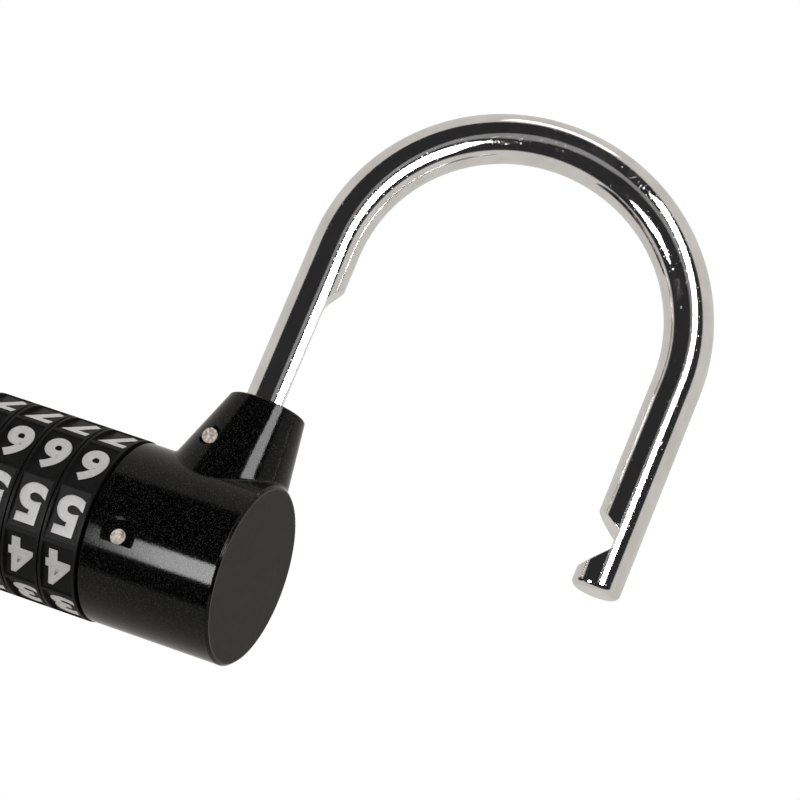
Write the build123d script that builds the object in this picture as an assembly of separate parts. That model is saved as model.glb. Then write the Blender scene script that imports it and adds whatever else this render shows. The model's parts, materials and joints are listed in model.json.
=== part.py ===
from build123d import *
import math
import os

# Combination padlock: a round barrel with four number dials between two end caps, and a wide round
# shackle. X runs along the barrel from the heel end to the toe end, Z points up to the shackle, and the
# front of the lock, where the code is read, faces -Y. The origin is the centre of the heel end face.
# The lock stands open: the shackle is lifted to its stop and swung round beyond the heel end.
# All lengths are in millimetres, and all angles in degrees.

# Barrel
barrel_r = 11.0
heel_cap_len = 17.3
toe_cap_len = 18.7
edge_chamfer = 0.3
rim_wall = 0.5
rim_ease = 0.15
tiny = 0.01
disc_t = 1.0
pocket_r = 6.5
pocket_depth = 0.9

# Dials and the hubs inside them
dial_count = 4
digits = 10
dial_pitch = 5.0
dial_gap = 0.2
dial_proud = 0.15
hub_rise = 1.9
hub_fit = 0.1
key_w = 1.5
key_h = 0.6
code_line_rise = 11.6
panel_edge_depth = 0.12
panel_rim = 0.35
ridge_w = 0.5
washer_t = 0.16

# Core tube, spindle and click spring
core_r = 5.0
core_wall = 1.5
core_end_wall = 3.4
rod_r = 1.5
spring_bore_r = 2.4
running = 0.05
tail_gap = 0.2
fin_t = 1.0
fin_w = 1.6
fin_rise = 1.0
fin_clear = 0.2
fin_gap = 0.1
spring_wire = 0.4
spring_turns = 7
strip_t = 0.25
strip_w = 2.2
strip_sink = 0.75

# Neck, bush and shackle
neck_end_gap = 1.7
toe_end_gap = 1.5
leg_r = 3.0
leg_fit = 0.1
neck_height = 8.6
neck_wall = 0.8
neck_spread = 3.25
neck_fillet = 0.5
neck_outer_taper = 8.3
neck_inner_taper = 20.0
collar_height = 2.0
bush_wall = 0.9
bush_depth = 8.0
lug_height = 1.8
flat_offset = 1.4
foot_len = 1.2
arch_rise = 21.3
step_rise = 14.6
step_angle = 50.0
step_blend = 2.6
swing_clear = 1.0
toe_round = 0.8
swing_angle = 200.0

# Notch in the toe leg, measured up from the toe end
notch_low = 2.2
notch_flat_low = 5.3
notch_flat_high = 7.4
notch_high = 9.5

# Latch nose
nose_r = 2.4
nose_tip_r = 0.8
nose_reach = 2.4
nose_back = 0.55
nose_rise = 0.75

# Pins
pin_r = 0.95
core_pin_from_dial = 4.2
core_pin_z = -2.6
pin_sunk = 0.1
dish_r = 2.2
dish_depth = 0.25
dish_inner_r = 1.55
dish_inner_depth = 0.5
groove_depth = 0.57
neck_pin_drop = 6.5
neck_dish_r = 1.35
neck_dish_depth = 0.45

# Radii round the heel leg, and how far each leg stands from its end of the barrel
bush_r = leg_r + bush_wall
neck_top_r = bush_r + neck_wall
groove_r = bush_r - groove_depth
neck_pin_offset = leg_r + leg_fit
leg_x = neck_top_r + neck_end_gap
toe_inset = neck_top_r + toe_end_gap

# Places along the barrel
dial_start = heel_cap_len + dial_gap / 2
dial_end = dial_start + dial_count * dial_pitch
toe_cap_x = dial_end + dial_gap / 2
length = toe_cap_x + toe_cap_len
toe_x = length - toe_inset
leg_spacing = toe_x - leg_x
dial_r = barrel_r + dial_proud
fin_r = core_r + fin_rise
hub_r = core_r + hub_rise

# Heights up the legs, with the shackle lifted
neck_top_z = barrel_r + neck_height
neck_root_z = math.sqrt(barrel_r**2 - (neck_top_r + neck_spread) ** 2)
bush_bottom_z = neck_top_z - bush_depth
neck_pin_z = neck_top_z - neck_pin_drop
foot_top_z = bush_bottom_z - leg_fit
heel_end_z = foot_top_z - foot_len
toe_end_z = barrel_r + collar_height + swing_clear
arch_z = neck_top_z + arch_rise
step_z = neck_top_z + step_rise
lift_travel = toe_end_z + (notch_flat_low + notch_flat_high) / 2 - nose_rise

# Travel and ends of the spindle
unlock_travel = nose_reach
hub_web = unlock_travel - fin_t - 2 * fin_gap
bore_near_x = toe_x - leg_r - leg_fit
nose_back_x = bore_near_x - nose_back
core_start = leg_x + leg_r + leg_fit + core_wall
core_end = nose_back_x - unlock_travel - running
heel_pin_x = heel_cap_len - core_pin_from_dial
toe_pin_x = toe_cap_x + core_pin_from_dial


def rod(radius, start, end, y=0.0, z=0.0):
    """A cylinder along X from one x to another."""
    centre = Location(((start + end) / 2, y, z), (0, 90, 0))
    return centre * Cylinder(radius, end - start)


def post(radius, low, high, x=0.0, y=0.0):
    """A cylinder along Z from one z to another."""
    return Pos(x, y, (low + high) / 2) * Cylinder(radius, high - low)


def cross(radius, near, far, x, z):
    """A cylinder along Y from one y to another."""
    return Location((x, (near + far) / 2, z), (90, 0, 0)) * Cylinder(radius, far - near)


def block(x0, x1, y0, y1, z0, z1):
    """A box between two corners."""
    centre = ((x0 + x1) / 2, (y0 + y1) / 2, (z0 + z1) / 2)
    return Pos(*centre) * Box(x1 - x0, y1 - y0, z1 - z0)


def around_barrel(shape, count):
    """Copies of a shape, evenly turned about the barrel's axis."""
    return [Rot(360 / count * i, 0, 0) * shape for i in range(count)]


def to_code_line(shape):
    """Turns a piece drawn upright so that its top faces the line where the code is read."""
    return Rot(90 - code_line_rise, 0, 0) * shape


def neck_section(z):
    """The neck's radius at one height, and how far its middle leans away from the barrel's end."""
    slope_out = math.tan(math.radians(neck_outer_taper))
    slope_in = math.tan(math.radians(neck_inner_taper))
    drop = neck_top_z - z
    return neck_top_r + drop * (slope_in + slope_out) / 2, drop * (slope_in - slope_out) / 2


def neck(top_z, axis_x, inward):
    """A leaning cone from the barrel up round one leg; its steeper side faces the end of the barrel."""
    rings = []
    for z in (neck_root_z, top_z):
        radius, lean = neck_section(z)
        rings.append(Plane((axis_x + inward * lean, 0, z)) * Circle(radius))
    reach = 2 * barrel_r
    return loft(rings) & block(0, length, -reach, reach, 0, 2 * top_z)


def with_neck(body, top_z, axis_x, inward):
    """A cap with its neck, blended where the two meet and eased at the rim."""
    cone = neck(top_z, axis_x, inward)
    whole = body + cone
    whole = fillet(new_edges(body, cone, combined=whole), neck_fillet)
    rim = whole.edges().filter_by_position(Axis.Z, top_z - tiny, top_z + tiny)
    return chamfer(rim, rim_ease)


def cap_blank(start, end, end_face):
    """One end of the barrel with a recess for its disc and a shallow pocket behind it."""
    body = rod(barrel_r, start, end)
    body = chamfer(body.edges().filter_by(GeomType.CIRCLE), edge_chamfer)
    inward = 1 if end_face == start else -1
    recess = rod(barrel_r - rim_wall, *sorted((end_face, end_face + inward * disc_t)))
    pocket = rod(pocket_r, *sorted((end_face, end_face + inward * (disc_t + pocket_depth))))
    return body, recess + pocket


def barrel_side():
    """How far the barrel's surface stands from the middle plane at the height of the cross pins."""
    return math.sqrt(barrel_r**2 - core_pin_z**2)


def pin_dishes(x):
    """The stepped round hollows where a cross pin shows on both sides of the barrel."""
    hollows = []
    for side in (-1, 1):
        for radius, depth in ((dish_r, dish_depth), (dish_inner_r, dish_inner_depth)):
            ends = sorted((side * (barrel_side() - depth), side * (barrel_side() + dish_r)))
            hollows.append(cross(radius, *ends, x, core_pin_z))
    return hollows


def core_pin(x):
    """A cross pin that holds the core tube in one cap."""
    half = barrel_side() - dish_depth - pin_sunk
    return cross(pin_r, -half, half, x, core_pin_z)


def core_pin_hole(x):
    """The hole for a cross pin, right through the cap."""
    return cross(pin_r, -barrel_r, barrel_r, x, core_pin_z)


def neck_surface_y(z, x):
    """How far the heel neck's wall stands from the middle plane at one height and place."""
    radius, lean = neck_section(z)
    return math.sqrt(radius**2 - (x - leg_x - lean) ** 2)


def heel_cap():
    """The heel end of the barrel, with the neck that carries the swivelling leg."""
    body, recess = cap_blank(0, heel_cap_len, 0)
    body = with_neck(body, neck_top_z, leg_x, 1)
    pin_x = leg_x + neck_pin_offset
    surface = neck_surface_y(neck_pin_z, pin_x)
    body -= recess
    body -= post(leg_r + leg_fit, heel_end_z - lift_travel - leg_fit, neck_top_z, leg_x)
    body -= post(bush_r + running, bush_bottom_z, neck_top_z, leg_x)
    body -= rod(core_r, core_start, heel_cap_len)
    body -= cross(pin_r, 0, surface, pin_x, neck_pin_z)
    body -= cross(neck_dish_r, surface - neck_dish_depth, surface + dish_r, pin_x, neck_pin_z)
    body -= core_pin_hole(heel_pin_x)
    for dish in pin_dishes(heel_pin_x):
        body -= dish
    return body


def toe_cap():
    """The toe end of the barrel, with the socket that the free leg drops into."""
    body, recess = cap_blank(toe_cap_x, length, length)
    socket_top = barrel_r + collar_height
    body = with_neck(body, socket_top, toe_x, -1)
    body -= recess
    body -= post(leg_r + 2 * leg_fit, toe_end_z - lift_travel - leg_fit, socket_top, toe_x)
    body -= rod(core_r, toe_cap_x, core_end)
    body -= rod(nose_r + running, core_end, toe_x, z=nose_rise)
    body -= core_pin_hole(toe_pin_x)
    for dish in pin_dishes(toe_pin_x):
        body -= dish
    return body


def end_disc(outer_x, inward):
    """The flat disc pressed into the end of a cap."""
    disc = rod(barrel_r - rim_wall, *sorted((outer_x, outer_x + inward * disc_t)))
    return disc


def neck_pin():
    """The short pin driven through the neck's wall into the groove round the bush."""
    pin_x = leg_x + neck_pin_offset
    surface = neck_surface_y(neck_pin_z, pin_x)
    inner_x = neck_pin_offset - pin_r
    tip = math.sqrt((groove_r + running) ** 2 - inner_x**2)
    return cross(pin_r, tip, surface - neck_dish_depth / 2, pin_x, neck_pin_z)


def shackle_frame(shape):
    """Turns a piece drawn with the shackle closed to where it stands swung open."""
    return Pos(leg_x, 0, 0) * Rot(0, 0, swing_angle) * shape


def swivel_bush():
    """A split sleeve that turns with the heel leg: a lug at its foot fits the leg's flat."""
    sleeve = post(bush_r, bush_bottom_z, neck_top_z)
    sleeve -= post(leg_r + running, bush_bottom_z, neck_top_z)
    lug = post(leg_r + running, bush_bottom_z, bush_bottom_z + lug_height)
    lug &= block(flat_offset + running, bush_r, -bush_r, bush_r, bush_bottom_z, neck_top_z)
    groove_half = pin_r + running
    groove = post(bush_r + 1, neck_pin_z - groove_half, neck_pin_z + groove_half)
    groove -= post(groove_r, bush_bottom_z, neck_top_z)
    whole = sleeve + lug - groove
    reach = 2 * bush_r
    halves = []
    for side in (-1, 1):
        keep = block(-reach, reach, *sorted((side * running / 2, side * reach)), 0, neck_top_z)
        halves.append(shackle_frame(whole & keep))
    return Compound(children=halves)


def shackle():
    """A bent round bar: a long heel leg with a flat and a foot, and a notched toe leg."""
    path = Polyline((0, 0, heel_end_z), (0, 0, arch_z))
    path += ThreePointArc(
        (0, 0, arch_z), (leg_spacing / 2, 0, arch_z + leg_spacing / 2), (leg_spacing, 0, arch_z)
    )
    path += Polyline((leg_spacing, 0, arch_z), (leg_spacing, 0, toe_end_z))
    bar = sweep(Plane.XY.offset(heel_end_z) * Circle(leg_r), path=path)
    bar = fillet(edges_at(bar, toe_end_z), toe_round)
    bar = chamfer(edges_at(bar, heel_end_z), edge_chamfer)
    bar = bar - extrude(flat_outline(), leg_r + 1, both=True)
    bar = bar - extrude(notch_outline(), leg_r + 1, both=True)
    return shackle_frame(bar)


def edges_at(bar, z):
    """The round edge of a leg at one height."""
    rounds = bar.edges().filter_by(GeomType.CIRCLE)
    return rounds.filter_by_position(Axis.Z, z - tiny, z + tiny)


def flat_outline():
    """What is cut from the heel leg: a long flat that ends in a curved ramp at its top."""
    outside = 2 * leg_r
    climb = math.tan(math.radians(step_angle))
    corner = (flat_offset, step_z)
    cut = Polyline(
        (outside, foot_top_z),
        (flat_offset, foot_top_z),
        corner,
        (outside, step_z + (outside - flat_offset) * climb),
        close=True,
    )
    face = make_face(Plane.XZ * cut)
    bend = face.vertices().sort_by_distance((flat_offset, 0, step_z))[0]
    return fillet(bend, step_blend)


def notch_outline():
    """What is cut from the inner side of the toe leg for the latch nose, down to the leg's middle."""
    inner = leg_spacing - leg_r - 1
    spread = 1 / leg_r
    low_out = notch_low - spread * (notch_flat_low - notch_low)
    high_out = notch_high + spread * (notch_high - notch_flat_high)
    return Plane.XZ * Polygon(
        (inner, toe_end_z + low_out),
        (leg_spacing, toe_end_z + notch_flat_low),
        (leg_spacing, toe_end_z + notch_flat_high),
        (inner, toe_end_z + high_out),
        align=None,
    )


def dial_span(index):
    """Where one dial starts and ends along the barrel."""
    start = dial_start + index * dial_pitch + dial_gap / 2
    return start, start + dial_pitch - dial_gap


def dial(index):
    """A number ring with ten flat sunk panels outside and ten key slots inside."""
    start, end = dial_span(index)
    ring = rod(dial_r, start, end) - rod(hub_r + hub_fit, start, end)
    half_turn = math.pi / digits
    panel_half = dial_r * math.sin(half_turn) - ridge_w / 2
    floor = math.sqrt((dial_r - panel_edge_depth) ** 2 - panel_half**2)
    panel = block(start + panel_rim, end - panel_rim, -panel_half, panel_half, floor, 2 * dial_r)
    slot_half = (key_w + hub_fit) / 2
    slot = block(start, end, -slot_half, slot_half, hub_r, hub_r + key_h + hub_fit)
    for cut in around_barrel(panel + slot, digits):
        ring -= cut
    return to_code_line(ring)


def gate(start, end):
    """The slot that a fin passes through, in a hub's web or in a washer."""
    half = fin_w / 2 + fin_clear
    return block(start, end, -half, half, 0, fin_r + fin_clear)


def code_hub(index):
    """A hub that turns with its dial: the gate in its web passes the fin only at the right number."""
    start, end = dial_span(index)
    web_start = (start + end - hub_web) / 2
    web_end = web_start + hub_web
    key = block(start, end, -key_w / 2, key_w / 2, hub_r - key_h, hub_r + key_h)
    hub = rod(hub_r, start, end) + to_code_line(key)
    hub -= rod(core_r + running, start, end)
    hub -= rod(fin_r + fin_clear, start, web_start)
    hub -= rod(fin_r + fin_clear, web_end, end)
    return hub - gate(web_start, web_end)


def fin_x(index):
    """Where a fin's middle stands along the barrel with the spindle forward."""
    start, end = dial_span(index)
    return (start + end + hub_web + fin_t) / 2 + fin_gap


def core_tube():
    """The fixed tube that the hubs turn on, with a slot for the fins and a bed for the click spring."""
    tube = rod(core_r, core_start, core_end)
    tube -= rod(rod_r + running, core_start, core_end)
    tube -= rod(spring_bore_r, core_start + core_end_wall, core_end - core_end_wall)
    slot_half = fin_w / 2 + running
    slot_start = fin_x(0) - fin_t / 2 - unlock_travel - fin_clear
    slot_end = core_end
    tube -= block(slot_start, slot_end, -slot_half, slot_half, 0, 2 * core_r)
    bed_half = strip_w / 2 + running
    bed_z = -(core_r - strip_sink)
    tube -= block(dial_start, dial_end, -bed_half, bed_half, -core_r, bed_z)
    for x in (heel_pin_x, toe_pin_x):
        tube -= core_pin_hole(x)
    return tube


def spindle():
    """The sliding rod with one fin for each dial."""
    bar = rod(rod_r, core_start + unlock_travel + tail_gap, nose_back_x)
    collar_r = spring_bore_r - running
    for index in range(dial_count):
        x = fin_x(index)
        bar += rod(collar_r, x - fin_t / 2, x + fin_t / 2)
        bar += block(x - fin_t / 2, x + fin_t / 2, -fin_w / 2, fin_w / 2, 0, fin_r)
    return bar


def latch_nose():
    """The blunt cone on the end of the spindle that holds the toe leg by its notch."""
    tip = bore_near_x + nose_reach
    body = rod(nose_r, nose_back_x, bore_near_x)
    cone = Location(((bore_near_x + tip) / 2, 0, 0), (0, 90, 0)) * Cone(nose_r, nose_tip_r, nose_reach)
    return Pos(0, 0, nose_rise) * (body + cone)


def spindle_spring():
    """The coil spring that pushes the spindle towards the toe."""
    start = core_start + core_end_wall + spring_wire / 2 + running
    end = fin_x(0) - fin_t / 2 - spring_wire / 2 - running
    mean_r = (rod_r + spring_bore_r) / 2
    pitch = (end - start) / spring_turns
    coil = Helix(pitch, end - start, mean_r)
    wire = Plane(coil @ 0, z_dir=coil % 0) * Circle(spring_wire / 2)
    return Location((start, 0, 0), (0, 90, 0)) * sweep(wire, path=coil)


def click_spring():
    """A bent strip in the core tube's bed, with one hump under each hub."""
    low = -(core_r - strip_sink)
    crest = -math.sqrt(core_r**2 - (strip_w / 2) ** 2)
    points = [(dial_start, low)]
    for index in range(dial_count):
        start = dial_start + index * dial_pitch
        points += [
            (start + 0.2 * dial_pitch, low),
            (start + 0.4 * dial_pitch, crest + strip_t),
            (start + 0.6 * dial_pitch, crest + strip_t),
            (start + 0.8 * dial_pitch, low),
        ]
    points.append((dial_end, low))
    outer = [(x, z - strip_t) for x, z in reversed(points)]
    profile = Plane.XZ * Polygon(*points, *outer, align=None)
    return extrude(profile, strip_w / 2, both=True)


def dial_washers():
    """Thin rings that keep each hub from dragging its neighbour round."""
    rings = []
    for index in range(dial_count + 1):
        x = dial_start + index * dial_pitch
        ring = rod(hub_r, x - washer_t / 2, x + washer_t / 2)
        ring -= rod(core_r + running, x - washer_t, x + washer_t)
        rings.append(ring - gate(x - washer_t, x + washer_t))
    return Compound(children=rings)


parts = {
    "heel_cap": heel_cap(),
    "toe_cap": toe_cap(),
    "heel_end_disc": end_disc(0, 1),
    "toe_end_disc": end_disc(length, -1),
    "core_tube": core_tube(),
    "heel_core_pin": core_pin(heel_pin_x),
    "toe_core_pin": core_pin(toe_pin_x),
    "neck_pin": neck_pin(),
    "swivel_bush": swivel_bush(),
    "shackle": shackle(),
    "spindle": spindle(),
    "latch_nose": latch_nose(),
    "spindle_spring": spindle_spring(),
    "click_spring": click_spring(),
    "dial_washers": dial_washers(),
}
for number in range(dial_count):
    parts[f"dial_{number + 1}"] = dial(number)
    parts[f"code_hub_{number + 1}"] = code_hub(number)

os.makedirs("parts", exist_ok=True)
for name, shape in parts.items():
    export_step(shape, f"parts/{name}.step")
    print(name, round(shape.volume, 1))
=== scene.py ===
# %% [markdown]
# # A combination padlock, finished in Blender
# The engineering model gives every solid piece at its real size and place. This notebook loads it, sets
# up a studio, gives each surface its finish, and models the small details that the solids leave out.

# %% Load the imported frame
import json
import math

import bpy
from mathutils import Matrix, Vector


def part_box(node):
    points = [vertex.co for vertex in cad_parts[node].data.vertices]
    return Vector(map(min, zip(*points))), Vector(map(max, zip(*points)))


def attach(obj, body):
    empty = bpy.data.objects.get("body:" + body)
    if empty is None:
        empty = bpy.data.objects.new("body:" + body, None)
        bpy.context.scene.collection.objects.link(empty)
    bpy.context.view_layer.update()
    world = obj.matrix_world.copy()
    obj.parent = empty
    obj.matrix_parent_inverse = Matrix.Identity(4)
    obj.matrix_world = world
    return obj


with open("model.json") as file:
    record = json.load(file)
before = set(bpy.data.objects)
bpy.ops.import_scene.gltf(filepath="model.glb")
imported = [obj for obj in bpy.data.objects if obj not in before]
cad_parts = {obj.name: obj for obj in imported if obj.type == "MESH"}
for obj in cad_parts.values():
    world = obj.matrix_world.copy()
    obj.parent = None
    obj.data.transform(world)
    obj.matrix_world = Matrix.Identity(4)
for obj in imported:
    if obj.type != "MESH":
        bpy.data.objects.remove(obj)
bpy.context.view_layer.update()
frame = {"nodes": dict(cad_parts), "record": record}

nodes = frame["nodes"]
MM = 0.001

# %% [markdown]
# ## Camera
# A small object is shot from far off with a long lens, so that its lines stay nearly parallel. The camera
# looks at the back of the lock from a little below, turned to the heel end, and leans on one side.
# Its place follows from one point that it aims at, two angles, a lean and a distance.

# %% Camera from an aim point and angles
barrel_low, barrel_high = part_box("heel_cap")
barrel_r = (barrel_high.y - barrel_low.y) / 2

AIM = Vector((-7.17, -3.54, 26.28)) * MM
VIEW_AZIMUTH = math.radians(-159.22)
VIEW_ELEVATION = math.radians(-12.68)
VIEW_LEAN = math.radians(22.54)
VIEW_DISTANCE = 0.5
LENS = 191.4

view_back = Vector((
    math.sin(VIEW_AZIMUTH) * math.cos(VIEW_ELEVATION),
    -math.cos(VIEW_AZIMUTH) * math.cos(VIEW_ELEVATION),
    math.sin(VIEW_ELEVATION),
))
level_right = Vector((0, 0, 1)).cross(view_back).normalized()
level_up = view_back.cross(level_right)
view_right = level_right * math.cos(VIEW_LEAN) + level_up * math.sin(VIEW_LEAN)
view_up = view_back.cross(view_right)


def facing(back, up, place):
    """The matrix of a camera or lamp at a place, with its back and its top along two directions."""
    back = back.normalized()
    right = up.cross(back).normalized()
    turn = Matrix((right, back.cross(right), back)).transposed().to_4x4()
    turn.translation = place
    return turn


camera_data = bpy.data.cameras.new("camera")
camera = bpy.data.objects.new("camera", camera_data)
bpy.context.scene.collection.objects.link(camera)
camera.matrix_world = facing(view_back, view_up, AIM + view_back * VIEW_DISTANCE)
camera_data.lens = LENS
camera_data.sensor_width = 36
camera_data.clip_start = 0.01
bpy.context.scene.camera = camera
print("camera at", [round(v, 3) for v in camera.matrix_world.translation])

# %% [markdown]
# ## Studio
# Polished metal and gloss paint show the room more than themselves. The room is pale paper behind the
# lock and dark on the camera's side, so that chrome gets a dark core between pale bands. A tall near
# panel draws the white line down each leg and the thin one on the neck, and a far one a faint line
# along the arch. A box low in front draws the stripe along the barrel, and a strip overhead lights the
# arch's crown. These lamps are only mirrored. A soft fill that isn't mirrored lights the digits.

# %% Floor, room and lamps
FLOOR_Z = -0.45
FLOOR_SIDE = 5.0
PAPER = (0.68, 0.655, 0.63, 1)
DARK = (0.030, 0.029, 0.030, 1)
ROOM_TURN = (view_back * 0.9 + view_up * 0.2 - view_right * 0.1).normalized()
ROOM_EDGE = 0.33
ROOM_EDGE_SOFT = 0.03


def make_floor():
    """A plain pale floor well under the hanging lock, left out of what the metal reflects."""
    bpy.ops.mesh.primitive_plane_add(size=FLOOR_SIDE, location=(0, 0, FLOOR_Z))
    floor = bpy.context.object
    floor.name = "floor"
    floor.visible_glossy = False
    paper = bpy.data.materials.new("floor_paper")
    paper.use_nodes = True
    shader = paper.node_tree.nodes["Principled BSDF"]
    shader.inputs["Base Color"].default_value = (0.85, 0.85, 0.85, 1)
    shader.inputs["Roughness"].default_value = 0.8
    floor.data.materials.append(paper)


def make_room():
    """White to the camera; pale behind the lock and dark in front of it to everything else."""
    world = bpy.data.worlds.new("studio")
    bpy.context.scene.world = world
    world.use_nodes = True
    tree = world.node_tree
    tree.nodes.clear()
    link = tree.links.new
    place = tree.nodes.new("ShaderNodeTexCoord")
    dot = tree.nodes.new("ShaderNodeVectorMath")
    dot.operation = "DOT_PRODUCT"
    dot.inputs[1].default_value = ROOM_TURN
    link(place.outputs["Generated"], dot.inputs[0])
    half = tree.nodes.new("ShaderNodeMath")
    half.operation = "MULTIPLY_ADD"
    half.inputs[1].default_value = 0.5
    half.inputs[2].default_value = 0.5
    link(dot.outputs["Value"], half.inputs[0])
    edge = (1 + ROOM_EDGE) / 2
    shade = tree.nodes.new("ShaderNodeValToRGB")
    stops = shade.color_ramp.elements
    stops[0].position, stops[0].color = edge - ROOM_EDGE_SOFT / 2, PAPER
    stops[1].position, stops[1].color = edge + ROOM_EDGE_SOFT / 2, DARK
    link(half.outputs["Value"], shade.inputs["Fac"])
    room = tree.nodes.new("ShaderNodeBackground")
    link(shade.outputs["Color"], room.inputs["Color"])
    paper = tree.nodes.new("ShaderNodeBackground")
    paper.inputs["Color"].default_value = (1, 1, 1, 1)
    path = tree.nodes.new("ShaderNodeLightPath")
    mix = tree.nodes.new("ShaderNodeMixShader")
    link(path.outputs["Is Camera Ray"], mix.inputs["Fac"])
    link(room.outputs["Background"], mix.inputs[1])
    link(paper.outputs["Background"], mix.inputs[2])
    out = tree.nodes.new("ShaderNodeOutputWorld")
    link(mix.outputs["Shader"], out.inputs["Surface"])


def soft_box(name, place_mm, aim_mm, width_mm, height_mm, glow):
    """A rectangular lamp at a place, turned to a point, whose face is as bright as glow."""
    place, aim = Vector(place_mm) * MM, Vector(aim_mm) * MM
    data = bpy.data.lights.new(name, "AREA")
    data.shape = "RECTANGLE"
    data.size, data.size_y = width_mm * MM, height_mm * MM
    data.energy = glow * math.pi * data.size * data.size_y
    lamp = bpy.data.objects.new(name, data)
    bpy.context.scene.collection.objects.link(lamp)
    lamp.matrix_world = facing(place - aim, Vector((0, 0, 1)), place)
    lamp.visible_camera = False
    return lamp


# Each mirrored lamp: its place, the point it faces, its width and height in mm, and its glow
MIRRORED_LAMPS = {
    "panel_far": ((-135, 330, 75), (-36, 342, 75), 280, 130, 0.28),
    "overhead": ((-12, 52, 345), (-12, 22, 45), 150, 60, 1.6),
    "panel_near": ((-100, 88, 85), (-1, 100, 85), 74, 160, 16.0),
    "barrel_box": ((84, 256, -117), (84, 1, -2), 88, 112, 24.0),
}

make_floor()
make_room()
for lamp_name, lamp_numbers in MIRRORED_LAMPS.items():
    soft_box(lamp_name, *lamp_numbers).visible_diffuse = False
soft_box("fill", (-60, 380, 160), (15, 0, 0), 200, 200, 4.6).visible_glossy = False
bpy.context.scene.view_settings.view_transform = "Standard"
print("studio ready")

# %% [markdown]
# ## Finishes
# Each finish is a small node tree on Object coordinates, so that grain and flakes stay fixed to the
# metal when it moves. The colour, the roughness and the surface each vary a little, as on real parts.


# %% Material helpers
def new_material(name, metallic=0.0, roughness=0.5):
    """A node material with its shader and the position that its patterns read."""
    material = bpy.data.materials.new(name)
    material.use_nodes = True
    tree = material.node_tree
    shader = tree.nodes["Principled BSDF"]
    shader.inputs["Metallic"].default_value = metallic
    shader.inputs["Roughness"].default_value = roughness
    place = tree.nodes.new("ShaderNodeTexCoord")
    return material, tree, shader, place.outputs["Object"]


def noise(tree, where, size_mm, detail=2.0, stretch=(1, 1, 1)):
    """A noise pattern whose grains are about one size in millimetres."""
    mapping = tree.nodes.new("ShaderNodeMapping")
    mapping.inputs["Scale"].default_value = stretch
    grain = tree.nodes.new("ShaderNodeTexNoise")
    grain.inputs["Scale"].default_value = 1 / (size_mm * MM)
    grain.inputs["Detail"].default_value = detail
    tree.links.new(where, mapping.inputs["Vector"])
    tree.links.new(mapping.outputs["Vector"], grain.inputs["Vector"])
    return grain.outputs["Fac"]


def ramp(tree, value, low, high, low_at=0.3, high_at=0.7):
    """A blend from one colour or grey to another as a pattern rises."""
    node = tree.nodes.new("ShaderNodeValToRGB")
    stops = node.color_ramp.elements
    for stop, at, colour in ((stops[0], low_at, low), (stops[1], high_at, high)):
        stop.position = at
        stop.color = colour if len(colour) == 4 else (*colour, 1)
    tree.links.new(value, node.inputs["Fac"])
    return node.outputs["Color"]


def grey(level):
    return (level, level, level)


def bump(tree, shader, height, depth_mm, edge_mm=0.06):
    """Raises the surface by a pattern, to a depth in millimetres, over softly rounded edges."""
    edge = tree.nodes.new("ShaderNodeBevel")
    edge.samples = 4
    edge.inputs["Radius"].default_value = edge_mm * MM
    node = tree.nodes.new("ShaderNodeBump")
    tree.links.new(edge.outputs["Normal"], node.inputs["Normal"])
    node.inputs["Distance"].default_value = depth_mm * MM
    node.inputs["Strength"].default_value = 1.0
    tree.links.new(height, node.inputs["Height"])
    tree.links.new(node.outputs["Normal"], shader.inputs["Normal"])


def plain_finish(name, low, high, metallic, rough_low, rough_high, grain_mm, depth_mm, shine=0.5):
    """A finish of one colour that varies a little, with grains of one size."""
    material, tree, shader, where = new_material(name, metallic)
    shader.inputs["Specular IOR Level"].default_value = shine
    pattern = noise(tree, where, grain_mm, 3.0)
    tree.links.new(ramp(tree, pattern, low, high), shader.inputs["Base Color"])
    tree.links.new(ramp(tree, pattern, grey(rough_low), grey(rough_high)), shader.inputs["Roughness"])
    bump(tree, shader, pattern, depth_mm)
    return material


# %% [markdown]
# ### Flaked black paint
# The caps are dipped in black paint with fine bright flakes. Each cell of a cell pattern is one flake;
# only the few cells with a high random number catch the light. A slight ripple breaks up the highlights.


# %% Flaked paint
FLAKE_MM = 0.08


def flaked_paint():
    material, tree, shader, where = new_material("flaked_black_paint", 0.0, 0.12)
    shader.inputs["Specular IOR Level"].default_value = 0.17
    cells = tree.nodes.new("ShaderNodeTexVoronoi")
    cells.inputs["Scale"].default_value = 1 / (FLAKE_MM * MM)
    tree.links.new(where, cells.inputs["Vector"])
    split = tree.nodes.new("ShaderNodeSeparateColor")
    tree.links.new(cells.outputs["Color"], split.inputs["Color"])
    flake = ramp(tree, split.outputs["Red"], grey(0.0020), grey(0.055), 0.86, 1.0)
    tree.links.new(flake, shader.inputs["Base Color"])
    ripple = noise(tree, where, 0.14, 2.0)
    tree.links.new(ramp(tree, ripple, grey(0.05), grey(0.12)), shader.inputs["Roughness"])
    bump(tree, shader, ripple, 0.004, edge_mm=0.12)
    return material


# %% [markdown]
# ### Chrome
# Polished plating is metal with almost no roughness. A faint long wave and a few fine pits keep the
# reflections from looking drawn with a ruler.


# %% Chrome
SCRATCH_STRETCH = (1, 1, 0.12)


def chrome():
    material, tree, shader, where = new_material("polished_chrome", 1.0, 0.05)
    tint = noise(tree, where, 3.0, 3.0)
    colour = ramp(tree, tint, (0.70, 0.69, 0.68), (0.80, 0.79, 0.79))
    tree.links.new(colour, shader.inputs["Base Color"])
    lines = noise(tree, where, 0.12, 4.0, SCRATCH_STRETCH)
    tree.links.new(ramp(tree, lines, grey(0.03), grey(0.16), 0.5, 0.85), shader.inputs["Roughness"])
    pits = noise(tree, where, 0.22, 3.0)
    dents = ramp(tree, pits, grey(1.0), grey(0.0), 0.66, 0.76)
    bump(tree, shader, dents, 0.006, edge_mm=0.22)
    return material


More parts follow.
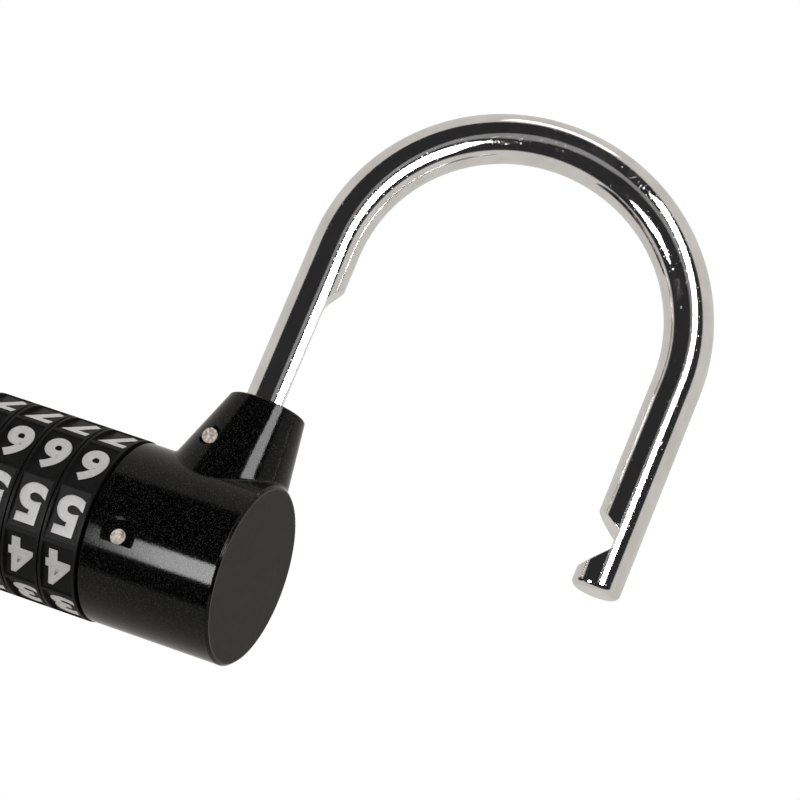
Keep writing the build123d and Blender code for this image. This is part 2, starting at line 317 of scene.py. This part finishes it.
# %% Assign finishes to the solids
finishes = {
    "black_paint": flaked_paint(),
    "chrome": chrome(),
    "grey_disc": plain_finish(
        "satin_grey", (0.030, 0.0285, 0.028), (0.038, 0.036, 0.0355), 0.0, 0.4, 0.5, 0.9, 0.004, 0.07
    ),
    "pin_steel": plain_finish(
        "cut_steel", (0.42, 0.30, 0.25), (0.95, 0.88, 0.84), 0.5, 0.3, 0.55, 0.35, 0.03
    ),
    "black_plastic": plain_finish(
        "dial_black", grey(0.006), grey(0.010), 0.0, 0.42, 0.55, 0.25, 0.012, 0.12
    ),
    "zinc": plain_finish("cast_zinc", grey(0.35), grey(0.5), 0.9, 0.35, 0.55, 0.6, 0.02),
    "spring_steel": plain_finish("spring_wire", grey(0.3), grey(0.42), 1.0, 0.22, 0.35, 0.3, 0.004),
    "brass": plain_finish(
        "turned_brass", (0.55, 0.38, 0.14), (0.68, 0.5, 0.22), 1.0, 0.22, 0.36, 0.5, 0.006
    ),
}
for entry in frame["record"]["subparts"]:
    node = nodes[entry["node"]]
    node.data.materials.clear()
    node.data.materials.append(finishes[entry["material_slot"]])
print("finished", len(nodes), "solids")

# %% [markdown]
# ## Numbers on the dials
# Each dial carries the ten digits 0 to 9, moulded in white on its ten sunk panels. They are thin solid
# letters: text with a thickness and a softened edge, made into a mesh. Text is the plain way to get
# clean digits. They could also be printed on with a mask, but raised digits keep their edges in light.

# %% Moulded digits
DIGITS = 10
STEP = 2 * math.pi / DIGITS
CODE_LINE_RISE = math.radians(11.6)
DIGIT_HEIGHT = 4.9 * MM
DIGIT_WIDTH = 3.3 * MM
DIGIT_THICK = 0.10 * MM
DIGIT_BOLD = 0.045
PANEL_SINK = 0.443 * MM
PANEL_FLOOR = barrel_r - PANEL_SINK


def digit_mesh(value, finish):
    """One bold digit as a mesh, centred at the origin, its face up."""
    bpy.ops.object.select_all(action="DESELECT")
    bpy.ops.object.text_add()
    text = bpy.context.object
    text.data.body = str(value)
    text.data.align_x = "CENTER"
    text.data.align_y = "CENTER"
    text.data.extrude = DIGIT_BOLD
    text.data.bevel_depth = DIGIT_BOLD
    text.data.bevel_resolution = 2
    bpy.ops.object.convert(target="MESH")
    digit = bpy.context.object
    low = Vector([min(v.co[i] for v in digit.data.vertices) for i in range(3)])
    high = Vector([max(v.co[i] for v in digit.data.vertices) for i in range(3)])
    size = high - low
    wide = DIGIT_WIDTH / size.x if value != 1 else DIGIT_HEIGHT / size.y
    scale = Matrix.Diagonal((wide, DIGIT_HEIGHT / size.y, DIGIT_THICK / size.z, 1))
    digit.data.transform(scale @ Matrix.Translation(-(low + high) / 2))
    digit.data.materials.clear()
    digit.data.materials.append(finish)
    return digit


def digit_place(value, middle_x):
    """Where a digit lies on its dial: its foot points round the barrel and its face points out."""
    angle = math.pi - CODE_LINE_RISE + value * STEP
    right = Vector((1, 0, 0))
    out = Vector((0, math.cos(angle), math.sin(angle)))
    up = out.cross(right)
    place = Matrix((right, up, out)).transposed().to_4x4()
    place.translation = right * middle_x + out * (PANEL_FLOOR + DIGIT_THICK / 2)
    return place


white_ink = plain_finish("white_numbers", grey(0.76), grey(0.86), 0.0, 0.32, 0.45, 0.5, 0.01)
for number in range(1, 5):
    dial_low, dial_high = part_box(f"dial_{number}")
    made = []
    for value in range(DIGITS):
        digit = digit_mesh(value, white_ink)
        digit.data.transform(digit_place(value, (dial_low.x + dial_high.x) / 2))
        made.append(digit)
    bpy.ops.object.select_all(action="DESELECT")
    for digit in made:
        digit.select_set(True)
    bpy.context.view_layer.objects.active = made[0]
    bpy.ops.object.join()
    numbers = bpy.context.object
    numbers.name = f"numbers_{number}"
    numbers.data.name = numbers.name
    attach(numbers, f"number_{number}")
    print(numbers.name, len(numbers.data.polygons), "faces")
